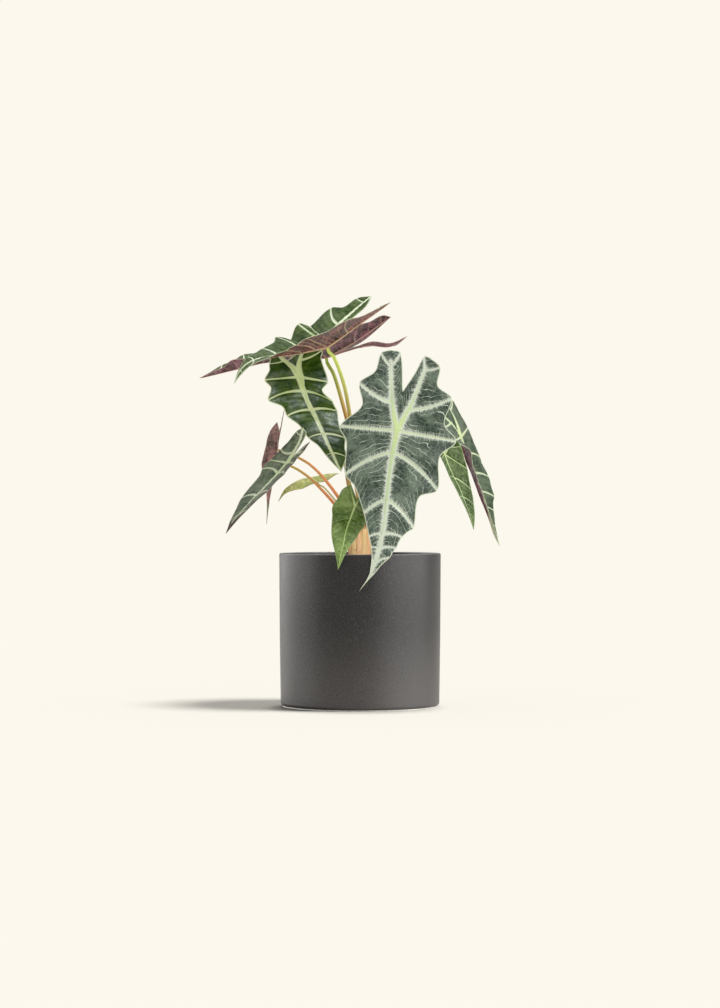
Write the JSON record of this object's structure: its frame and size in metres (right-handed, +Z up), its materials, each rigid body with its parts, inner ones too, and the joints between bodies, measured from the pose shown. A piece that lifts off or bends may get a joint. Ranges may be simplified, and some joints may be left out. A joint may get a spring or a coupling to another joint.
{
  "type": "potted polly alocasia",
  "caption": "Arrow-leaved alocasia with waved, pale-veined blades on slim stalks, growing in soil in a plain dark cylindrical pot.",
  "frame": {"origin": "centre of the flat base that the pot stands on", "axes": "+Z up along the pot's axis; -Y towards the side that the large front blade faces"},
  "size_m": [0.2819, 0.1694, 0.3868],
  "materials": {
    "pot_stoneware": "satin",
    "potting_soil": "matte",
    "leaf_sheaths": "satin",
    "blade_dark_green": "satin",
    "blade_mid_green": "satin",
    "blade_pale_green": "satin",
    "stalk_green": "satin",
    "stalk_brown": "satin",
    "stalk_orange": "satin"
  },
  "bodies": {
    "root": {"pot": "pot_stoneware", "soil": "potting_soil", "stem_base": "leaf_sheaths", "leaf_front": "blade_dark_green", "leaf_left": "blade_dark_green", "leaf_top": "blade_dark_green", "leaf_upper_back": "blade_dark_green", "leaf_low_left": "blade_dark_green", "leaf_back_left": "blade_dark_green", "leaf_small_front": "blade_mid_green", "leaf_small_back": "blade_pale_green", "leaf_right": "blade_dark_green", "leaf_small_right": "blade_mid_green", "petiole_front": "stalk_brown", "petiole_left": "stalk_green", "petiole_top": "stalk_green", "petiole_upper_back": "stalk_brown", "petiole_low_left": "stalk_orange", "petiole_back_left": "stalk_orange", "petiole_small_front": "stalk_green", "petiole_small_back": "stalk_green", "petiole_right": "stalk_brown", "petiole_small_right": "stalk_green"}
  },
  "joints": []
}
